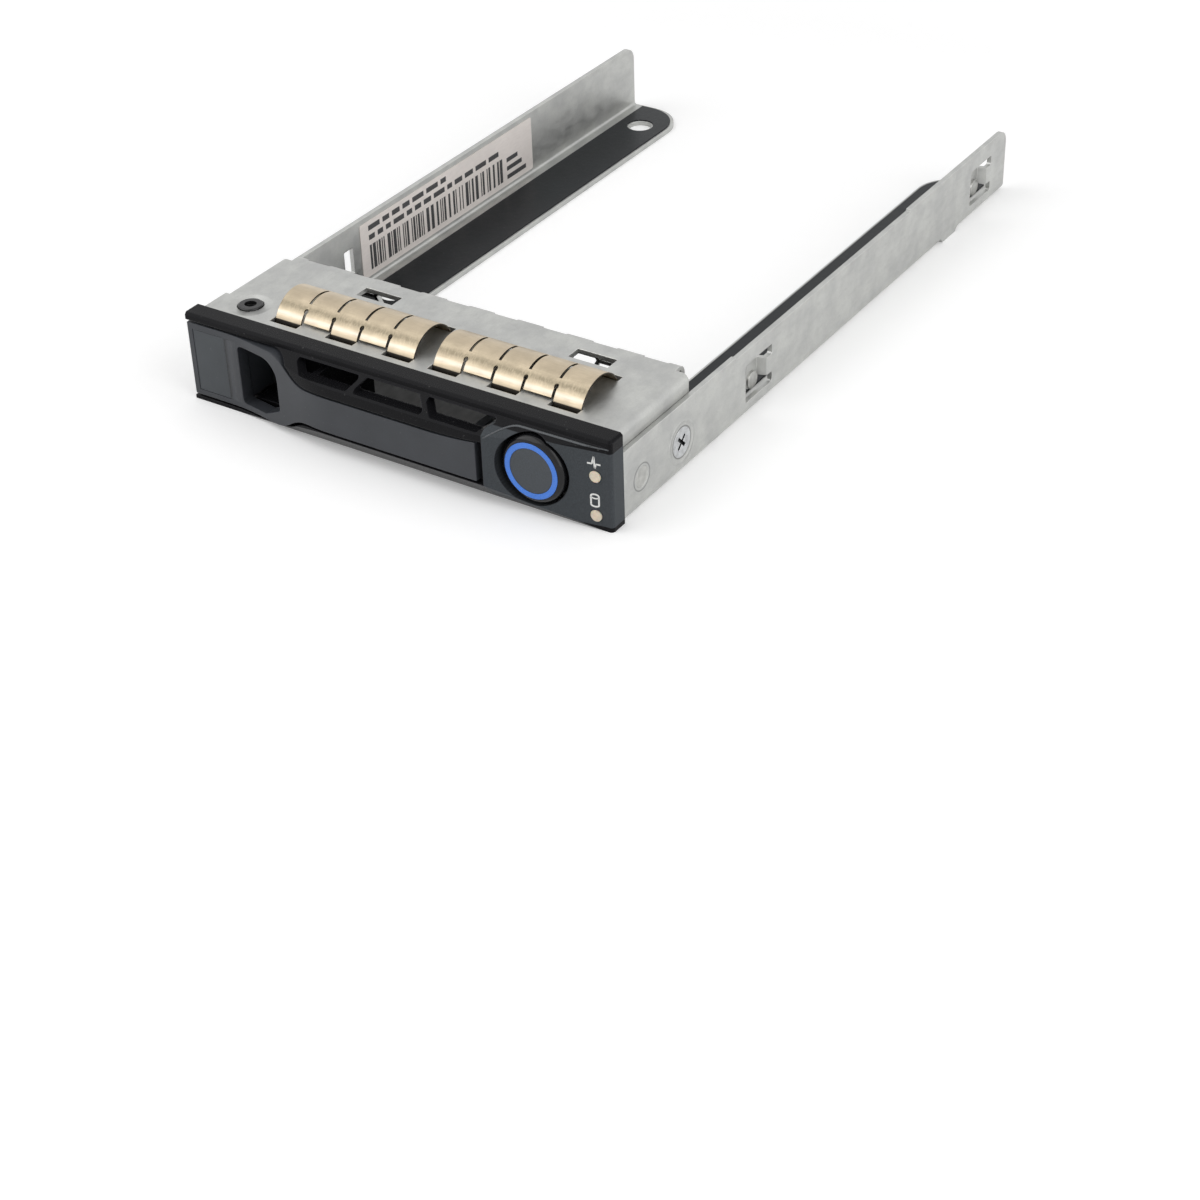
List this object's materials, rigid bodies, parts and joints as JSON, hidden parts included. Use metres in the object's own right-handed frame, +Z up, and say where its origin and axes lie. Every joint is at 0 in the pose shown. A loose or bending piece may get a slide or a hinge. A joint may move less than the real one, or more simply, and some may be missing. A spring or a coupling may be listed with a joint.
{
  "type": "hot swap drive caddy",
  "caption": "Sheet-metal tray for a 2.5 inch drive with a perforated front box, contact finger strips, and a black bezel with a swinging lever and a round release button.",
  "frame": {"origin": "on the underside of the floor sheet, midway between the arms, at the sheet's front end where the bezel meets it", "axes": "+X across the caddy to the right as seen from its front, +Y along the caddy from the front to the back, +Z up"},
  "size_m": [0.076, 0.1303, 0.0173],
  "materials": {
    "galvanised_sheet": "galvanised, satin",
    "black_film": "matt",
    "label_paper": "matt paper",
    "turned_steel": "satin",
    "contact_strip": "satin, warm tone",
    "screw_steel": "zinc plated",
    "bezel_plastic": "fine satin grain",
    "lever_plastic": "satin",
    "inlay_plastic": "satin",
    "black_steel": "black oxide",
    "spring_steel": "drawn wire",
    "button_plastic": "gloss",
    "ring_blue": "gloss",
    "latch_plastic": "matt",
    "light_pipe": "milky"
  },
  "bodies": {
    "carrier": {"tray_frame": "galvanised_sheet", "insulating_film": "black_film", "label": "label_paper", "drive_pins": "turned_steel", "front_cover": "galvanised_sheet", "emi_strip_left": "contact_strip", "emi_strip_right": "contact_strip", "side_screws": "screw_steel", "bezel_rivet": "turned_steel", "bezel": "bezel_plastic", "pivot_pin": "black_steel", "lever_spring": "spring_steel", "light_pipe_upper": "light_pipe", "light_pipe_lower": "light_pipe"},
    "lever": {"lever": "lever_plastic", "lever_inlay": "inlay_plastic"},
    "button": {"button_cap": "button_plastic", "button_ring": "ring_blue"},
    "latch": {"latch_slide": "latch_plastic", "latch_spring": "spring_steel"}
  },
  "joints": [
    {"name": "lever_swing", "type": "hinge", "parent": "carrier", "child": "lever", "pos_m": [-0.0312, 0.0042, 0.0093], "axis": [0, 0, -1], "range_deg": [0, 55]},
    {"name": "button_press", "type": "slide", "parent": "carrier", "child": "button", "axis": [0, 1, 0], "range_m": [0, 0.0018], "stiffness_N_per_m": 800},
    {"name": "latch_release", "type": "slide", "parent": "carrier", "child": "latch", "axis": [1, 0, 0], "range_m": [0, 0.0018], "deforming": ["latch_spring"]}
  ],
  "couplings": [
    {"joint": "latch_release", "follows": "button_press", "ratio": 1}
  ]
}
